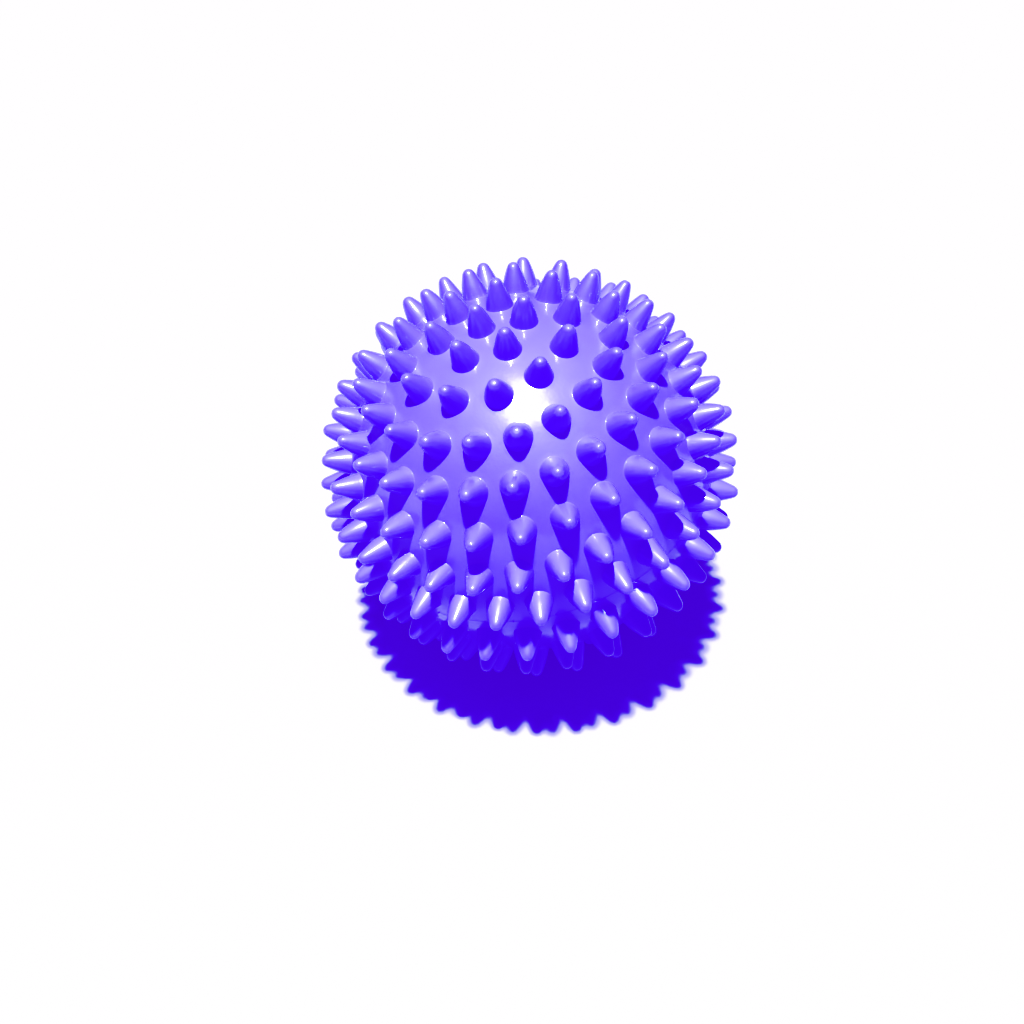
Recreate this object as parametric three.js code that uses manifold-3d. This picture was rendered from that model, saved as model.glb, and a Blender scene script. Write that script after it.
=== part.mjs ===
// Spiky massage ball: a hollow, air-filled skin of soft PVC, moulded in two halves and bonded on a lap joint,
// with a rubber valve in the lower half that a pull-out plug closes.
// Millimetres, +Z up, origin at the ball's centre. The ball lies as it does on a table, leaning off its own pole.
import * as THREE from 'three';
import { mergeVertices } from 'three/addons/utils/BufferGeometryUtils.js';
import { ConvexHull } from 'three/addons/math/ConvexHull.js';
import Module from 'manifold-3d';

const wasm = await Module();
wasm.setup();

// ---- driving dimensions ----
const OUTER_R = 45.0;            // over the spike tips
const BODY_R = 39.1;             // outside of the skin, between the spikes
const WALL = 2.6;                // skin thickness
const TIP_R = 1.35;              // rounded spike tip
const SPIKE_BASE_R = 2.8;        // spike radius where it leaves the skin
const SPIKE_SIDES = 6;
const GAP = 0.3;                 // clearance between pieces that touch

// the pattern's pole, which the ball leans by about 14 degrees when it lies still
const POLE = new THREE.Vector3(-0.2378, -0.0582, 0.9696).normalize();

// rings of spikes round the pole: [angle from the pole, number of spikes, azimuth of the first]
const UPPER_RINGS = [
  [0, 1, 0], [12.33, 6, 7.0], [25.01, 12, 9.3], [38.03, 19, 17.3], [50.56, 24, 5.8],
  [63.23, 26, 11.3], [75.97, 30, 6.1], [87.8, 31, 6.0],
];
const LOWER_RINGS = [
  [103.48, 30, 1.7], [116.32, 28, 4.5], [129.4, 24, 5.8], [142.3, 19, 9.0],
  [155.8, 12, 13.8], [168.0, 6, 43.8], [180, 1, 0],
];
const SEAM_ANGLE = 95.6;         // the halves part here, between the last upper ring and the first lower ring
const LAP_ANGLE = 4.2;           // length of the lap joint, in degrees of arc
const LAP_R = BODY_R - WALL / 2; // radius of the lap's step

// valve, which takes the place of one spike of the second lower ring
const VALVE_RING = 1;            // index in LOWER_RINGS
const VALVE_INDEX = 7;
const FLANGE_R = 4.5;            // outer flange of the valve body
const FLANGE_T = 1.1;
const NECK_R = 2.9;              // through the wall
const BULB_R = 4.2;              // inner shoulder that keeps the valve in
const BULB_DEPTH = 4.2;
const BORE_R = 1.3;              // takes a pump needle
const HEAD_R = 2.3;              // plug head
const HEAD_T = 0.9;
const STEM_R = 0.95;
const STEM_L = 5.2;

// ---- helpers ----
const rad = (d) => (d * Math.PI) / 180;

function toSolid(geometry) {
  const g = geometry.clone();
  for (const name of Object.keys(g.attributes)) if (name !== 'position') g.deleteAttribute(name);
  const m = mergeVertices(g, 1e-4);
  return new wasm.Manifold(new wasm.Mesh({
    numProp: 3,
    vertProperties: new Float32Array(m.attributes.position.array),
    triVerts: new Uint32Array(m.index.array),
  }));
}

function toGeometry(solid) {
  const mesh = solid.getMesh();
  const g = new THREE.BufferGeometry();
  g.setAttribute('position', new THREE.BufferAttribute(new Float32Array(mesh.vertProperties), 3));
  g.setIndex(new THREE.BufferAttribute(new Uint32Array(mesh.triVerts), 1));
  g.computeVertexNormals();
  return g;
}

// direction in the pattern's own frame, pole along +Z
function direction(polar, azimuth) {
  const t = rad(polar), a = rad(azimuth);
  return new THREE.Vector3(Math.sin(t) * Math.cos(a), Math.sin(t) * Math.sin(a), Math.cos(t));
}

// closed profile [radius from the axis, height] turned about +Z
function lathe(profile, segments) {
  const pts = profile.map(([r, z]) => new THREE.Vector2(r, z));
  const g = new THREE.LatheGeometry(pts, segments);
  g.rotateX(Math.PI / 2);
  return g;
}

// the same, moved so that height 0 to h runs outward along dir from the ball's centre
function along(geometry, dir) {
  const q = new THREE.Quaternion().setFromUnitVectors(new THREE.Vector3(0, 0, 1), dir);
  return geometry.clone().applyQuaternion(q);
}

// A moulded half: its outside runs from facet to facet between the spikes' feet, each spike is a six-sided cone with
// a pointed cap, and rings of facets carry the wall round the lap joint and over the inside to the inner pole.
function halfShell(rings, skip, seam, inside) {
  const tipCentre = OUTER_R - TIP_R;
  const slope = Math.asin((SPIKE_BASE_R - TIP_R) / (tipCentre - BODY_R));
  const k = 1 / Math.sqrt(Math.cos(Math.PI / SPIKE_SIDES));   // keeps the section's area near the round one's
  const points = [];
  const owner = [];        // which spike a point is the foot of, or -1 on the seam circle
  const tris = [];
  const feet = [];
  const radial = (dir, side, r, height) => dir.clone().multiplyScalar(height).addScaledVector(side, r);

  rings.forEach(([polar, count, first], ring) => {
    for (let i = 0; i < count; i++) {
      if (skip && skip[0] === ring && skip[1] === i) continue;
      const dir = direction(polar, first + (360 * i) / count);
      const u = new THREE.Vector3(0, 0, 1).cross(dir);
      if (u.length() < 1e-6) u.set(1, 0, 0);
      u.normalize();
      const w = dir.clone().cross(u);
      const footR = SPIKE_BASE_R * k;
      const footH = Math.sqrt(BODY_R ** 2 - footR ** 2);
      const foot = [];
      for (let j = 0; j < SPIKE_SIDES; j++) {
        const t = (2 * Math.PI * j) / SPIKE_SIDES;
        const side = u.clone().multiplyScalar(Math.cos(t)).addScaledVector(w, Math.sin(t));
        foot.push(points.length);
        points.push(radial(dir, side, footR, footH));
        owner.push(feet.length);
      }
      feet.push({ dir, u, w, foot });
    }
  });
  const seamRing = [];
  for (let i = 0; i < SEGMENTS; i++) {
    seamRing.push(points.length);
    points.push(direction(seam, (360 * i) / SEGMENTS).multiplyScalar(BODY_R));
    owner.push(-1);
  }

  // facets of the skin between the feet
  const index = new Map(points.map((p, i) => [p, i]));
  for (const face of new ConvexHull().setFromPoints(points.slice()).faces) {
    const ids = [];
    let edge = face.edge;
    do { ids.push(index.get(edge.head().point)); edge = edge.next; } while (edge !== face.edge);
    if (ids.every((i) => owner[i] === owner[ids[0]])) continue;   // under a spike, or across the mouth
    for (let i = 1; i + 1 < ids.length; i++) tris.push([ids[0], ids[i], ids[i + 1]]);
  }

  // the spikes
  for (const { dir, u, w, foot } of feet) {
    const shoulder = [];
    for (let j = 0; j < SPIKE_SIDES; j++) {
      const t = (2 * Math.PI * j) / SPIKE_SIDES;
      const side = u.clone().multiplyScalar(Math.cos(t)).addScaledVector(w, Math.sin(t));
      shoulder.push(points.length);
      points.push(radial(dir, side, TIP_R * Math.cos(slope) * k, tipCentre + TIP_R * Math.sin(slope)));
    }
    const apex = points.length;
    points.push(dir.clone().multiplyScalar(OUTER_R));
    for (let j = 0; j < SPIKE_SIDES; j++) {
      const n = (j + 1) % SPIKE_SIDES;
      tris.push([foot[j], foot[n], shoulder[n]], [foot[j], shoulder[n], shoulder[j]], [shoulder[j], shoulder[n], apex]);
    }
  }

  // the lap joint and the inside, ring by ring from the seam to the inner pole
  const up = inside[inside.length - 1][1] < 90;
  let previous = seamRing;
  for (const [r, polar] of inside) {
    const atPole = polar === 0 || polar === 180;
    const ring = [];
    for (let i = 0; i < (atPole ? 1 : SEGMENTS); i++) {
      ring.push(points.length);
      points.push(direction(polar, (360 * i) / SEGMENTS).multiplyScalar(r));
    }
    for (let i = 0; i < SEGMENTS; i++) {
      const n = (i + 1) % SEGMENTS;
      const quad = atPole
        ? [[previous[i], previous[n], ring[0]]]
        : [[previous[i], previous[n], ring[n]], [previous[i], ring[n], ring[i]]];
      for (const t of quad) tris.push(up ? [t[0], t[2], t[1]] : t);
    }
    previous = ring;
  }

  const g = new THREE.BufferGeometry();
  g.setAttribute('position', new THREE.Float32BufferAttribute(points.flatMap((p) => [p.x, p.y, p.z]), 3));
  g.setIndex(tris.flat());
  return toSolid(g);
}

// ---- the two moulded halves ----
const INNER_R = BODY_R - WALL;
const SEGMENTS = 40;
const INNER_ROWS = 7;
const gapAngle = (GAP / BODY_R) * (180 / Math.PI);
const rows = (from, to) => Array.from({ length: INNER_ROWS + 1 }, (_, i) => [INNER_R, from + ((to - from) * i) / INNER_ROWS]);

// upper half: full wall down to the seam, then an inner tongue
const upper = halfShell(UPPER_RINGS, null, SEAM_ANGLE, [
  [LAP_R - GAP / 2, SEAM_ANGLE], [LAP_R - GAP / 2, SEAM_ANGLE + LAP_ANGLE], ...rows(SEAM_ANGLE + LAP_ANGLE, 0),
]);
// lower half: an outer rebate that the tongue fits, then the full wall
let lower = halfShell(LOWER_RINGS, [VALVE_RING, VALVE_INDEX], SEAM_ANGLE + gapAngle, [
  [LAP_R + GAP / 2, SEAM_ANGLE + gapAngle], [LAP_R + GAP / 2, SEAM_ANGLE + LAP_ANGLE + gapAngle],
  ...rows(SEAM_ANGLE + LAP_ANGLE + gapAngle, 180),
]);

// ---- valve ----
const [vPolar, vCount, vFirst] = LOWER_RINGS[VALVE_RING];
const valveDir = direction(vPolar, vFirst + (360 * VALVE_INDEX) / vCount);
const FACE = BODY_R;                         // the flange's outer face, level with the skin
const seat = FACE - FLANGE_T;

// pocket for the flange and a hole for the neck
const pocket = toSolid(along(lathe([
  [0, INNER_R - 2], [NECK_R + GAP, INNER_R - 2], [NECK_R + GAP, seat - GAP],
  [FLANGE_R + GAP, seat - GAP], [FLANGE_R + GAP, BODY_R + 4], [0, BODY_R + 4],
], 24), valveDir));
lower = lower.subtract(pocket);

const shoulder = INNER_R - 0.55;             // clear of the curved inside of the wall
const valveBody = toSolid(along(lathe([
  [BORE_R, shoulder - BULB_DEPTH],
  [BULB_R * 0.62, shoulder - BULB_DEPTH],
  [BULB_R, shoulder - BULB_DEPTH * 0.45],
  [BULB_R, shoulder],
  [NECK_R, shoulder],
  [NECK_R, seat],
  [FLANGE_R, seat],
  [FLANGE_R, FACE - 0.25],
  [FLANGE_R - 0.25, FACE],
  [HEAD_R + GAP, FACE],
  [HEAD_R + GAP, FACE - HEAD_T - GAP + 0.2],
  [BORE_R, FACE - HEAD_T - GAP + 0.2],
  [BORE_R, shoulder - BULB_DEPTH],
], 24), valveDir));

// plug: a domed head with a small lip to pull it by, and a stem with a rounded nose
const headTop = FACE + 0.2;
const plug = toSolid(along(lathe([
  [0, headTop - HEAD_T - STEM_L],
  [STEM_R * 0.6, headTop - HEAD_T - STEM_L + 0.25],
  [STEM_R, headTop - HEAD_T - STEM_L + 0.9],
  [STEM_R, headTop - HEAD_T],
  [HEAD_R, headTop - HEAD_T],
  [HEAD_R, headTop - 0.3],
  [HEAD_R - 0.3, headTop],
  [HEAD_R - 0.9, headTop],
  [HEAD_R - 1.1, headTop - 0.35],
  [0, headTop - 0.35],
], 20), valveDir));

// ---- scene graph ----
function mesh(name, solid, color, roughness) {
  const m = new THREE.Mesh(toGeometry(solid), new THREE.MeshStandardMaterial({ color, roughness, metalness: 0 }));
  m.name = name;
  return m;
}

const ball = new THREE.Group();
ball.quaternion.setFromUnitVectors(new THREE.Vector3(0, 0, 1), POLE);
ball.add(mesh('upper_half_shell', upper, 0x5a38ff, 0.35));
ball.add(mesh('lower_half_shell', lower, 0x5534fb, 0.35));
ball.add(mesh('valve_body', valveBody, 0x3d22c8, 0.55));
ball.add(mesh('valve_plug', plug, 0xe9e6f2, 0.45));

const part = new THREE.Group();
part.add(ball);
export default part;
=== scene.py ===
import math

import bmesh
import bpy
import numpy as np
from mathutils import Matrix, Vector
from mathutils.geometry import delaunay_2d_cdt


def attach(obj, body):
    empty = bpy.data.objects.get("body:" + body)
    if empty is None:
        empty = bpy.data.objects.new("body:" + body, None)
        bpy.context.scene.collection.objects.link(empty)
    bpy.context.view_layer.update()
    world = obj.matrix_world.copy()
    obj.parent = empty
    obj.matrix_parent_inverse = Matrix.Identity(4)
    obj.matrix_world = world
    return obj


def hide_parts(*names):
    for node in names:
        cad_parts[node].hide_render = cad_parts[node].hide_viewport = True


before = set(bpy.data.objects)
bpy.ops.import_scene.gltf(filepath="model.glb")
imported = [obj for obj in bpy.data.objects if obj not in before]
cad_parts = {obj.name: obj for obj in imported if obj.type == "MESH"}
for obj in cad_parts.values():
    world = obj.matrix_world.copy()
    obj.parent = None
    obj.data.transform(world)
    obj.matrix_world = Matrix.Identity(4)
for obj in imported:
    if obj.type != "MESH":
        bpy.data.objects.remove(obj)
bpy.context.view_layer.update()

# ------------------------------------------------------------------ dimensions, in mm, as in the CAD model
OUTER_R = 45.0
BODY_R = 39.1
WALL = 2.6
INNER_R = BODY_R - WALL
TIP_R = 1.35
SPIKE_BASE_R = 2.8
FILLET_R = 0.14
BULGE = 0.14             # how far a spike's flank swells out of the straight cone
SMOOTH = 0.32            # length over which flank runs into tip
SEAM_ANGLE = 95.6
LAP_ANGLE = 4.2
LAP_R = BODY_R - WALL / 2
TIP_C = OUTER_R - TIP_R
POLE = np.array([-0.2378, -0.0582, 0.9696])
POLE /= np.linalg.norm(POLE)
UPPER_RINGS = [
    (0, 1, 0), (12.33, 6, 7.0), (25.01, 12, 9.3), (38.03, 19, 17.3), (50.56, 24, 5.8),
    (63.23, 26, 11.3), (75.97, 30, 6.1), (87.8, 31, 6.0),
]
LOWER_RINGS = [
    (103.48, 30, 1.7), (116.32, 28, 4.5), (129.4, 24, 5.8), (142.3, 19, 9.0),
    (155.8, 12, 13.8), (168.0, 6, 43.8), (180, 1, 0),
]
VALVE = (1, 7)            # ring and place in LOWER_RINGS that the valve takes
SEGS = 24                 # facets round a spike
MM = 0.001

rng = np.random.default_rng(7)


def tilt_matrix():
    """Rotation that takes +Z to the pattern's pole by the shortest way."""
    axis = np.cross([0, 0, 1], POLE)
    s, c = np.linalg.norm(axis), POLE[2]
    axis /= s
    k = np.array([[0, -axis[2], axis[1]], [axis[2], 0, -axis[0]], [-axis[1], axis[0], 0]])
    return np.eye(3) + s * k + (1 - c) * k @ k


TILT = tilt_matrix()


def direction(polar, azimuth):
    t, a = np.radians(polar), np.radians(azimuth)
    return np.array([np.sin(t) * np.cos(a), np.sin(t) * np.sin(a), np.cos(t)])


def side_vectors(d):
    u = np.cross([0, 0, 1.0], d)
    if np.linalg.norm(u) < 1e-6:
        u = np.array([1.0, 0, 0])
    u /= np.linalg.norm(u)
    return u, np.cross(d, u)


# ------------------------------------------------------------------ spike profile
def cone_angle():
    lo, hi = 0.0, 0.8
    for _ in range(60):
        b = (lo + hi) / 2
        r = (TIP_R + (TIP_C - BODY_R) * math.sin(b)) / math.cos(b)
        lo, hi = (b, hi) if r < SPIKE_BASE_R else (lo, b)
    return (lo + hi) / 2


BETA = cone_angle()


def fillet_centre():
    lo, hi = SPIKE_BASE_R, 9.0
    for _ in range(60):
        r = (lo + hi) / 2
        h = math.sqrt((BODY_R + FILLET_R) ** 2 - r * r)
        d = r * math.cos(BETA) + (h - TIP_C) * math.sin(BETA)
        lo, hi = (r, hi) if d < TIP_R + FILLET_R else (lo, r)
    r = (lo + hi) / 2
    return r, math.sqrt((BODY_R + FILLET_R) ** 2 - r * r)


def spike_profile():
    """[(radius, height)] from the skin to just short of the apex: small foot radius, swelling flank, round tip.
    The first point lies on the skin."""
    rc, hc = fillet_centre()
    k = BODY_R / (BODY_R + FILLET_R)
    a0 = math.atan2(hc * k - hc, rc * k - rc)
    a1 = math.atan2(-math.sin(BETA), -math.cos(BETA))
    if a1 > a0:
        a1 -= 2 * math.pi
    foot = [(rc + FILLET_R * math.cos(a), hc + FILLET_R * math.sin(a)) for a in np.linspace(a0, a1, 5)]
    # flank and tip as one fine line, mirrored past the apex, then smoothed so that its curvature has no step
    start = np.array(foot[-1])
    end = np.array([TIP_R * math.cos(BETA), TIP_C + TIP_R * math.sin(BETA)])
    line = [start * (1 - t) + end * t + np.array([BULGE * math.sin(math.pi * t), 0]) for t in np.linspace(0, 1, 120)[:-1]]
    line += [np.array([TIP_R * math.cos(a), TIP_C + TIP_R * math.sin(a)]) for a in np.linspace(BETA, math.pi / 2, 60)]
    line = np.array(line)
    whole = np.concatenate([line, (line * [-1, 1])[::-1][1:]])
    arc = np.concatenate([[0], np.cumsum(np.linalg.norm(np.diff(whole, axis=0), axis=1))])
    even = np.linspace(0, arc[-1], 801)
    whole = np.stack([np.interp(even, arc, whole[:, 0]), np.interp(even, arc, whole[:, 1])], 1)
    step = even[1]
    smooth = whole.copy()
    for i in range(1, 800):
        width = min(SMOOTH, 0.5 * min(even[i], even[-1] - even[i]))
        if width < step:
            continue
        w = np.exp(-0.5 * ((even - even[i]) / width) ** 2)
        smooth[i] = (whole * w[:, None]).sum(0) / w.sum()
    half = smooth[:401]
    half[:, 1] += OUTER_R - half[-1, 1]
    half[:, 1] = start[1] + (half[:, 1] - half[0, 1]) * (OUTER_R - start[1]) / (OUTER_R - half[0, 1])
    s_half = even[:401] / even[400]
    pick = [0.1, 0.2, 0.3, 0.4, 0.5, 0.58, 0.65, 0.71, 0.765, 0.815, 0.86, 0.9, 0.935, 0.968]
    return foot + [(float(np.interp(t, s_half, half[:, 0])), float(np.interp(t, s_half, half[:, 1]))) for t in pick]


PROFILE = spike_profile()
FOOT_R = PROFILE[0][0]


# ------------------------------------------------------------------ skin surface between the spikes
def fibonacci(n):
    i = np.arange(n) + 0.5
    z = 1 - 2 * i / n
    a = math.pi * (1 + 5 ** 0.5) * i
    s = np.sqrt(1 - z * z)
    return np.stack([s * np.cos(a), s * np.sin(a), z], 1)


def sphere_patch(upper, holes, edge_polar, edge_n, spacing, radius, support=None):
    """Triangles over the part of a sphere on one side of a circle of latitude, with round holes left out.
    holes: [(direction, hole radius, ring of points)]. Returns points, triangles, index of each ring, index of the edge."""
    pts = []
    ring_of = []
    rings = []
    for d, r, ring in holes:
        rings.append(list(range(len(pts), len(pts) + len(ring))))
        pts.extend(ring / np.linalg.norm(ring, axis=1)[:, None])
        ring_of.extend([len(rings) - 1] * len(ring))
    edge = list(range(len(pts), len(pts) + edge_n))
    for i in range(edge_n):
        pts.append(direction(edge_polar, 360.0 * i / edge_n))
        ring_of.append(-1)
    for polar in support or []:
        for i in range(edge_n):
            pts.append(direction(polar, 360.0 * (i + 0.5) / edge_n))
            ring_of.append(-2)
    n = int(4 * math.pi * radius ** 2 / (spacing ** 2 * 0.87))
    free = fibonacci(n)
    polar = np.degrees(np.arccos(np.clip(free[:, 2], -1, 1)))
    margin = math.degrees(spacing * 0.7 / radius)
    limit = (support or [edge_polar])[-1]
    keep = polar < limit - margin if upper else polar > limit + margin
    free = free[keep]
    if holes:
        dirs = np.array([h[0] for h in holes])
        rad = np.array([h[1] for h in holes])
        ang = np.arccos(np.clip(free @ dirs.T, -1, 1)) * radius
        free = free[(ang > rad[None] + spacing * 0.45).all(1)]
    for p in free:
        pts.append(p)
        ring_of.append(-2)
    pts = np.array(pts)
    flat = pts[:, :2] / ((1 + pts[:, 2:]) if upper else (1 - pts[:, 2:]))
    links = []
    for ring in rings + [edge]:
        links += [(ring[i], ring[(i + 1) % len(ring)]) for i in range(len(ring))]
    out = delaunay_2d_cdt([Vector((float(x), float(y))) for x, y in flat], links, [], 0, 1e-7, True)
    back = [o[0] if o else None for o in out[3]]
    tris = []
    for f in out[2]:
        ids = [back[i] for i in f]
        if None in ids:
            continue
        owners = [ring_of[i] for i in ids]
        if owners[0] >= 0 and owners[0] == owners[1] == owners[2]:
            continue
        if owners[0] == owners[1] == owners[2] == -1:
            continue
        tris.append(ids)
    return pts * radius, tris, rings, edge


class Shell:
    """Collects points and faces of one closed mesh."""

    def __init__(self):
        self.v, self.f = [], []

    def add(self, pts):
        start = len(self.v)
        self.v.extend([tuple(map(float, p)) for p in pts])
        return list(range(start, len(self.v)))

    def band(self, a, b):
        n = len(a)
        for i in range(n):
            j = (i + 1) % n
            self.f.append((a[i], a[j], b[j], b[i]))

    def fan(self, a, tip):
        for i in range(len(a)):
            self.f.append((a[i], a[(i + 1) % len(a)], tip))

    def circle(self, d, u, w, r, h, n):
        t = np.arange(n) * 2 * math.pi / n
        return d[None] * h + r * (np.cos(t)[:, None] * u + np.sin(t)[:, None] * w)


def to_object(name, shell, tilt=True, smooth=True):
    v = np.array(shell.v)
    if tilt:
        v = v @ TILT.T
    mesh = bpy.data.meshes.new(name)
    mesh.from_pydata((v * MM).tolist(), [], shell.f)
    bm = bmesh.new()
    bm.from_mesh(mesh)
    bmesh.ops.recalc_face_normals(bm, faces=bm.faces)
    open_edges = sum(1 for e in bm.edges if len(e.link_faces) != 2)
    if open_edges:
        print("OPEN EDGES", name, open_edges)
    bm.to_mesh(mesh)
    bm.free()
    if smooth:
        mesh.polygons.foreach_set("use_smooth", [True] * len(mesh.polygons))
    mesh.update()
    obj = bpy.data.objects.new(name, mesh)
    bpy.context.scene.collection.objects.link(obj)
    return obj


def spike_list(ring_table, skip):
    out = []
    for ring, (polar, count, first) in enumerate(ring_table):
        for i in range(count):
            if skip and skip == (ring, i):
                continue
            out.append(direction(polar, first + 360.0 * i / count))
    return out


def half_skin(name, upper):
    table = UPPER_RINGS if upper else LOWER_RINGS
    dirs = spike_list(table, None if upper else VALVE)
    shell = Shell()
    helper = Shell()
    holes = []
    foot_h = PROFILE[0][1]
    for d in dirs:
        u, w = side_vectors(d)
        holes.append((d, FOOT_R, helper.circle(d, u, w, FOOT_R, foot_h, SEGS)))
    valve_dir = direction(LOWER_RINGS[VALVE[0]][0], LOWER_RINGS[VALVE[0]][2] + 360.0 * VALVE[1] / LOWER_RINGS[VALVE[0]][1])
    pocket_r = 4.78
    if not upper:
        u, w = side_vectors(valve_dir)
        holes.append((valve_dir, pocket_r, helper.circle(valve_dir, u, w, pocket_r, math.sqrt(BODY_R ** 2 - pocket_r ** 2), 64)))
    # the seam edge stands a hair proud, as a moulded parting line does, and rounds over into a fine line
    sgn = 1 if upper else -1
    seam = SEAM_ANGLE + (0.0 if upper else 0.02)
    edge_polar = seam - sgn * 0.42
    pts, tris, rings, edge = sphere_patch(upper, holes, edge_polar, 288, 1.2, BODY_R,
                                          support=[edge_polar - sgn * 0.75, edge_polar - sgn * 2.1])
    base = shell.add(pts)
    shell.f.extend([tuple(base[i] for i in t) for t in tris])

    # spikes
    for k, d in enumerate(dirs):
        u, w = side_vectors(d)
        lean = rng.normal(0, 0.10, 2)                 # mm at the tip
        stretch = 1 + rng.normal(0, 0.010)
        fat = 1 + rng.normal(0, 0.018)
        prev = [base[i] for i in rings[k]]
        top = PROFILE[-1]
        for r, h in PROFILE[1:]:
            t = (h - foot_h) / (OUTER_R - foot_h)
            hh = min(foot_h + (h - foot_h) * stretch, OUTER_R)
            rr = r * (1 + (fat - 1) * min(1, t * 3))
            c = shell.circle(d, u, w, rr, hh, SEGS) + (u * lean[0] + w * lean[1]) * t * t
            ring = shell.add(c)
            shell.band(prev, ring)
            prev = ring
        apex = shell.add([d * min(foot_h + (OUTER_R - foot_h) * stretch, OUTER_R) + u * lean[0] + w * lean[1]])[0]
        shell.fan(prev, apex)

    # parting line, lap joint and inside
    n = len(edge)

    def lat(r, polar):
        return [direction(polar, 360.0 * i / n) * r for i in range(n)]

    prev = [base[i] for i in edge]
    steps = [(BODY_R + 0.008, seam - sgn * 0.26), (BODY_R + 0.018, seam - sgn * 0.14), (BODY_R + 0.014, seam - sgn * 0.05),
             (BODY_R - 0.01, seam), (BODY_R - 0.3, seam)]
    if upper:
        steps += [(LAP_R - 0.05, seam), (LAP_R - 0.05, SEAM_ANGLE + LAP_ANGLE), (INNER_R, SEAM_ANGLE + LAP_ANGLE)]
    else:
        steps += [(LAP_R + 0.05, seam), (LAP_R + 0.05, SEAM_ANGLE + LAP_ANGLE + 0.1), (INNER_R, SEAM_ANGLE + LAP_ANGLE + 0.1)]
    for r, p in steps:
        ring = shell.add(lat(r, p))
        shell.band(prev, ring)
        prev = ring
    # inside of the wall, with the valve's hole
    inner_holes = []
    neck = 3.05
    if not upper:
        u, w = side_vectors(valve_dir)
        inner_holes.append((valve_dir, neck, helper.circle(valve_dir, u, w, neck, math.sqrt(INNER_R ** 2 - neck ** 2), 64)))
    inner_polar = SEAM_ANGLE + LAP_ANGLE + (0.0 if upper else 0.1)
    pts, tris, irings, iedge = sphere_patch(upper, inner_holes, inner_polar, n, 3.2, INNER_R,
                                            support=[inner_polar - sgn * 1.6])
    # the patch's edge circle is the ring already made
    index = {}
    for i, e in enumerate(iedge):
        index[e] = prev[i]
    rest = [i for i in range(len(pts)) if i not in index]
    for i, j in zip(rest, shell.add(pts[rest])):
        index[i] = j
    shell.f.extend([tuple(index[i] for i in t) for t in tris])
    if not upper:
        u, w = side_vectors(valve_dir)
        h0 = math.sqrt(BODY_R ** 2 - pocket_r ** 2)
        prev = [base[i] for i in rings[-1]]
        seat = BODY_R - 1.1
        for r, h in [(4.70, h0 - 0.02), (4.64, h0 - 0.08), (4.62, h0 - 0.16), (4.62, seat - 0.02), (4.58, seat - 0.06),
                     (neck + 0.06, seat - 0.06), (neck, seat - 0.12)]:
            ring = shell.add(shell.circle(valve_dir, u, w, r, h, 64))
            shell.band(prev, ring)
            prev = ring
        shell.band(prev, [index[i] for i in irings[0]])
    else:
        # flash: short curls of PVC left where the mould parted
        for az, length, bend, lift in [(275.6, 1.6, 0.15, 0.85), (287.3, 1.8, -0.15, 0.3), (299.8, 1.8, -0.2, 0.7),
                                       (263.0, 0.7, 0.5, 0.6), (238.5, 0.6, 0.4, 0.5), (120.0, 1.0, 0.5, 0.8), (44.0, 0.9, -0.5, 0.8)]:
            root = direction(SEAM_ANGLE - 0.12, az)
            out, east = root, np.cross([0, 0, 1.0], root)
            east /= np.linalg.norm(east)
            down = np.cross(east, out) * -1
            prev = None
            for s in np.linspace(0, 1, 9):
                a = bend * s * 1.6
                c = root * (BODY_R - 0.12) + out * (0.12 + lift * length * math.sin(s * 1.3)) * 1.0 * s \
                    + east * (length * s * math.cos(a)) + down * (length * 0.5 * math.sin(a) * s)
                r = 0.13 * (1 - s) ** 0.5 + 0.03
                t = np.arange(8) * 2 * math.pi / 8
                ring = shell.add(c[None] + r * (np.cos(t)[:, None] * out * 0.6 + np.sin(t)[:, None] * down))
                if prev is None:
                    shell.fan(ring, shell.add([c - east * 0.02])[0])
                else:
                    shell.band(prev, ring)
                prev = ring
            shell.fan(prev, shell.add([c + east * 0.02])[0])
    return to_object(name, shell), valve_dir


def lathe(name, d, profile, n, closed=True):
    """Profile [(radius, height along d)] turned about d; ends on the axis or closes on itself."""
    u, w = side_vectors(d)
    shell = Shell()
    rings = []
    for r, h in profile:
        rings.append(shell.add([d * h]) if r < 1e-6 else shell.add(shell.circle(d, u, w, r, h, n)))
    pairs = list(zip(rings[:-1], rings[1:]))
    if closed and len(rings[0]) > 1 and len(rings[-1]) > 1:
        pairs.append((rings[-1], rings[0]))
    for a, b in pairs:
        if len(a) == 1:
            shell.fan(b, a[0])
        elif len(b) == 1:
            shell.fan(a, b[0])
        else:
            shell.band(a, b)
    return to_object(name, shell)


def rounded(profile, radii, steps=4):
    """Rounds the corners of an open or closed profile: radii[i] is the radius at point i."""
    out = []
    n = len(profile)
    for i, (p, r) in enumerate(zip(profile, radii)):
        if r <= 0:
            out.append(p)
            continue
        a, b, c = np.array(profile[(i - 1) % n]), np.array(p), np.array(profile[(i + 1) % n])
        ab, cb = (a - b), (c - b)
        la, lc = np.linalg.norm(ab), np.linalg.norm(cb)
        ab, cb = ab / la, cb / lc
        r = min(r, 0.45 * la, 0.45 * lc)
        for t in np.linspace(0, 1, steps + 1):
            q = b + ab * r * (1 - t) ** 2 + cb * r * t ** 2
            out.append(tuple(q))
    return out


upper, valve_dir = half_skin("upper_skin", True)
lower, _ = half_skin("lower_skin", False)

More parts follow.
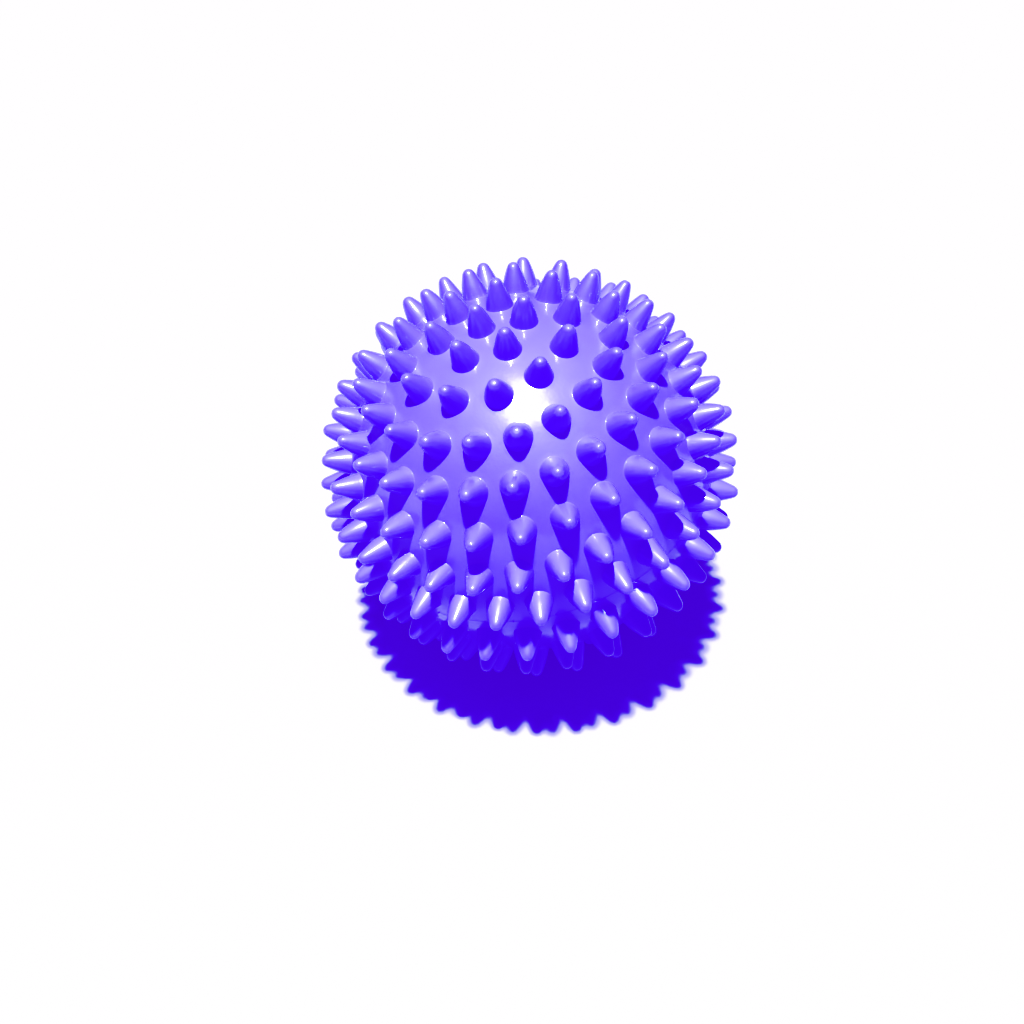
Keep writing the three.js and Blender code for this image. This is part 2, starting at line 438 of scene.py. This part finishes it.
FACE = BODY_R
seat = FACE - 1.1
shoulder = INNER_R - 0.55
body_profile = rounded(
    [(1.3, shoulder - 4.2), (2.6, shoulder - 4.2), (4.2, shoulder - 1.9), (4.2, shoulder), (2.9, shoulder), (2.9, seat),
     (4.5, seat), (4.5, FACE + 0.02), (2.62, FACE + 0.06), (2.62, FACE - 1.0), (1.3, FACE - 1.0)],
    [0.3, 0.5, 0.8, 0.3, 0.2, 0.15, 0.2, 0.35, 0.18, 0.2, 0.22])
valve = lathe("valve_grommet", valve_dir, body_profile, 72)
top = FACE + 0.2
plug_profile = rounded(
    [(0, top - 0.9 - 5.2), (0.95, top - 0.9 - 5.2), (0.95, top - 0.9), (2.3, top - 0.9), (2.3, top), (1.55, top), (1.2, top - 0.38), (0, top - 0.3)],
    [0, 0.6, 0.25, 0.15, 0.28, 0.2, 0.3, 0], steps=5)
plug = lathe("valve_stopper", valve_dir, plug_profile, 64)

for piece, body, node, slot in ((upper, "ball", "upper_half_shell", "skin"), (lower, "ball", "lower_half_shell", "skin"),
                                (valve, "ball", "valve_body", "valve_rubber"), (plug, "plug", "valve_plug", "plug")):
    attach(piece, body)
    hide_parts(node)


# ------------------------------------------------------------------ materials
def srgb(r, g, b):
    f = lambda c: c / 12.92 if c <= 0.04045 else ((c + 0.055) / 1.055) ** 2.4
    return (f(r / 255), f(g / 255), f(b / 255), 1.0)


def pvc(name, base, deep, rough_lo, rough_hi, sss=0.0, coat=0.0, scale=1.0):
    mat = bpy.data.materials.new(name)
    mat.use_nodes = True
    nt = mat.node_tree
    nt.nodes.clear()
    out = nt.nodes.new("ShaderNodeOutputMaterial")
    bsdf = nt.nodes.new("ShaderNodeBsdfPrincipled")
    nt.links.new(bsdf.outputs[0], out.inputs[0])
    tc = nt.nodes.new("ShaderNodeTexCoord")
    # slow drift of the pigment through the moulding
    cloud = nt.nodes.new("ShaderNodeTexNoise")
    cloud.inputs["Scale"].default_value = 38 * scale
    cloud.inputs["Detail"].default_value = 3
    nt.links.new(tc.outputs["Object"], cloud.inputs["Vector"])
    ramp = nt.nodes.new("ShaderNodeValToRGB")
    ramp.color_ramp.elements[0].position = 0.32
    ramp.color_ramp.elements[0].color = deep
    ramp.color_ramp.elements[1].position = 0.68
    ramp.color_ramp.elements[1].color = base
    nt.links.new(cloud.outputs["Fac"], ramp.inputs["Fac"])
    nt.links.new(ramp.outputs["Color"], bsdf.inputs["Base Color"])
    # handling haze changes the gloss a little from place to place
    haze = nt.nodes.new("ShaderNodeTexNoise")
    haze.inputs["Scale"].default_value = 260 * scale
    haze.inputs["Detail"].default_value = 4
    nt.links.new(tc.outputs["Object"], haze.inputs["Vector"])
    mr = nt.nodes.new("ShaderNodeMapRange")
    mr.inputs["From Min"].default_value = 0.3
    mr.inputs["From Max"].default_value = 0.7
    mr.inputs["To Min"].default_value = rough_lo
    mr.inputs["To Max"].default_value = rough_hi
    nt.links.new(haze.outputs["Fac"], mr.inputs["Value"])
    nt.links.new(mr.outputs["Result"], bsdf.inputs["Roughness"])
    # the mould's fine satin texture
    grain = nt.nodes.new("ShaderNodeTexNoise")
    grain.inputs["Scale"].default_value = 1500 * scale
    grain.inputs["Detail"].default_value = 3
    nt.links.new(tc.outputs["Object"], grain.inputs["Vector"])
    bump = nt.nodes.new("ShaderNodeBump")
    bump.inputs["Strength"].default_value = 0.22
    bump.inputs["Distance"].default_value = 0.00008
    nt.links.new(grain.outputs["Fac"], bump.inputs["Height"])
    nt.links.new(bump.outputs["Normal"], bsdf.inputs["Normal"])
    bsdf.inputs["IOR"].default_value = 1.54
    bsdf.inputs["Specular IOR Level"].default_value = 0.55
    if sss:
        bsdf.inputs["Subsurface Weight"].default_value = sss
        bsdf.inputs["Subsurface Radius"].default_value = (0.6, 0.4, 1.0)
        bsdf.inputs["Subsurface Scale"].default_value = 0.0012
    if coat:
        bsdf.inputs["Coat Weight"].default_value = coat
        bsdf.inputs["Coat Roughness"].default_value = 0.12
        bsdf.inputs["Coat IOR"].default_value = 1.55
    return mat


skin = pvc("violet_pvc", (0.262, 0.207, 0.91, 1), (0.244, 0.190, 0.88, 1), 0.38, 0.46, coat=1.0)
rubber = pvc("valve_rubber", (0.14, 0.08, 0.62, 1), (0.11, 0.06, 0.55, 1), 0.42, 0.55)
white = pvc("plug_plastic", (0.78, 0.77, 0.86, 1), (0.72, 0.71, 0.82, 1), 0.30, 0.42)
for obj, mat in ((upper, skin), (lower, skin), (valve, rubber), (plug, white)):
    obj.data.materials.append(mat)

# ------------------------------------------------------------------ floor
bpy.context.view_layer.update()
low = min(min(v.co.z for v in o.data.vertices) for o in (upper, lower))
FLOOR_Z = low
fm = bpy.data.meshes.new("floor")
R = 6.0
nseg = 96
fv = [(0, 0, 0)] + [(R * math.cos(2 * math.pi * i / nseg), R * math.sin(2 * math.pi * i / nseg), 0) for i in range(nseg)]
fm.from_pydata(fv, [], [(0, 1 + i, 1 + (i + 1) % nseg) for i in range(nseg)])
floor = bpy.data.objects.new("floor", fm)
floor.location = (0, 0, FLOOR_Z)
bpy.context.scene.collection.objects.link(floor)
fmat = bpy.data.materials.new("white_floor")
fmat.use_nodes = True
fb = fmat.node_tree.nodes["Principled BSDF"]
fb.inputs["Base Color"].default_value = (0.49, 0.435, 0.45, 1)
fb.inputs["Roughness"].default_value = 0.6
fm.materials.append(fmat)

# ------------------------------------------------------------------ light
scene = bpy.context.scene
L = Vector((0.065, 0.16, -1.0)).normalized()
# a small bright lamp with a soft glow round it, high above the ball
for name, energy, angle in (("key", 5.4, 2.8), ("key_glow", 2.2, 6.5)):
    sun = bpy.data.lights.new(name, "SUN")
    sun.energy = energy
    sun.angle = math.radians(angle)
    key = bpy.data.objects.new(name, sun)
    key.rotation_mode = "QUATERNION"
    key.rotation_quaternion = Vector((0, 0, -1)).rotation_difference(L)
    scene.collection.objects.link(key)

world = bpy.data.worlds.new("world")
world.use_nodes = True
bg = world.node_tree.nodes["Background"]
bg.inputs["Color"].default_value = (0.72, 0.66, 1.0, 1)
bg.inputs["Strength"].default_value = 0.14
# the backdrop past the floor's edge is plain and pale, and throws no light of its own
pale = world.node_tree.nodes.new("ShaderNodeBackground")
pale.inputs["Color"].default_value = (1.0, 1.0, 1.0, 1)
pale.inputs["Strength"].default_value = 1.2
path = world.node_tree.nodes.new("ShaderNodeLightPath")
pick = world.node_tree.nodes.new("ShaderNodeMixShader")
wout = world.node_tree.nodes["World Output"]
world.node_tree.links.new(path.outputs["Is Camera Ray"], pick.inputs[0])
world.node_tree.links.new(bg.outputs[0], pick.inputs[1])
world.node_tree.links.new(pale.outputs[0], pick.inputs[2])
world.node_tree.links.new(pick.outputs[0], wout.inputs["Surface"])
scene.world = world

scene.view_settings.view_transform = "Standard"
scene.view_settings.look = "None"


WHITE = 1.15


def tone(channel, points):
    """Sets one channel's curve from (scene value, picture value) pairs; the picture values are as displayed."""
    curve = scene.view_settings.curve_mapping.curves[channel]
    pts = [(t / WHITE, d / 12.92 if d <= 0.04045 else ((d + 0.055) / 1.055) ** 2.4) for t, d in points]
    curve.points[0].location = pts[0]
    curve.points[-1].location = pts[-1]
    for t, d in pts[1:-1]:
        curve.points.new(t, d)
    for p in curve.points:
        p.handle_type = "VECTOR"


# the picture is a hard, bright print: whites burn out, and the shadows sink into one violet
scene.view_settings.use_curve_mapping = True
scene.view_settings.curve_mapping.extend = "HORIZONTAL"
scene.view_settings.curve_mapping.white_level = (WHITE, WHITE, WHITE)
tone(0, [(0, 0.255), (0.12, 0.276), (0.2, 0.281), (0.25, 0.290), (0.317, 0.326), (0.394, 0.403), (0.472, 0.505),
         (0.564, 0.620), (0.65, 0.685), (0.74, 0.730), (0.85, 0.795), (0.95, 0.870), (1.05, 0.950), (1.12, 0.99), (WHITE, 1.0)])
tone(1, [(0, 0), (0.08, 0.004), (0.15, 0.012), (0.195, 0.036), (0.252, 0.132), (0.318, 0.272), (0.387, 0.430), (0.464, 0.572),
         (0.55, 0.645), (0.65, 0.705), (0.75, 0.775), (0.85, 0.862), (0.95, 0.955), (1.02, 0.995), (WHITE, 1.0)])
tone(2, [(0, 0.80), (0.12, 0.850), (0.16, 0.885), (0.25, 0.918), (0.48, 0.935), (0.57, 0.950), (0.68, 0.968), (0.95, 0.990),
         (1.03, 1.0), (WHITE, 1.0)])
scene.view_settings.curve_mapping.update()

# ------------------------------------------------------------------ camera
ELEV = math.radians(41.0)
FOCAL_PX = 1231.26
DIST = TIP_C / 0.162927 * MM
CX, CY = 528.77, 467.66
v = np.array([(CX - 511.5) / FOCAL_PX, -(CY - 511.5) / FOCAL_PX, -1.0])
v /= np.linalg.norm(v)
zz = -v
xx = np.cross([0, 1, 0], zz)
xx /= np.linalg.norm(xx)
yy = np.cross(zz, xx)
wx = np.array([1.0, 0, 0])
wy = np.array([0, math.sin(ELEV), math.cos(ELEV)])
wz = np.array([0, -math.cos(ELEV), math.sin(ELEV)])
ROT = np.outer(wx, xx) + np.outer(wy, yy) + np.outer(wz, zz)
cam_data = bpy.data.cameras.new("camera")
cam_data.sensor_width = 36
cam_data.lens = FOCAL_PX * 36 / 1024
cam_data.clip_start = 0.005
cam = bpy.data.objects.new("camera", cam_data)
m = Matrix([list(ROT[i]) + [0] for i in range(3)] + [[0, 0, 0, 1]])
cam.matrix_world = Matrix.Translation(Vector(wz * DIST)) @ m
scene.collection.objects.link(cam)
scene.camera = cam

bpy.context.view_layer.update()
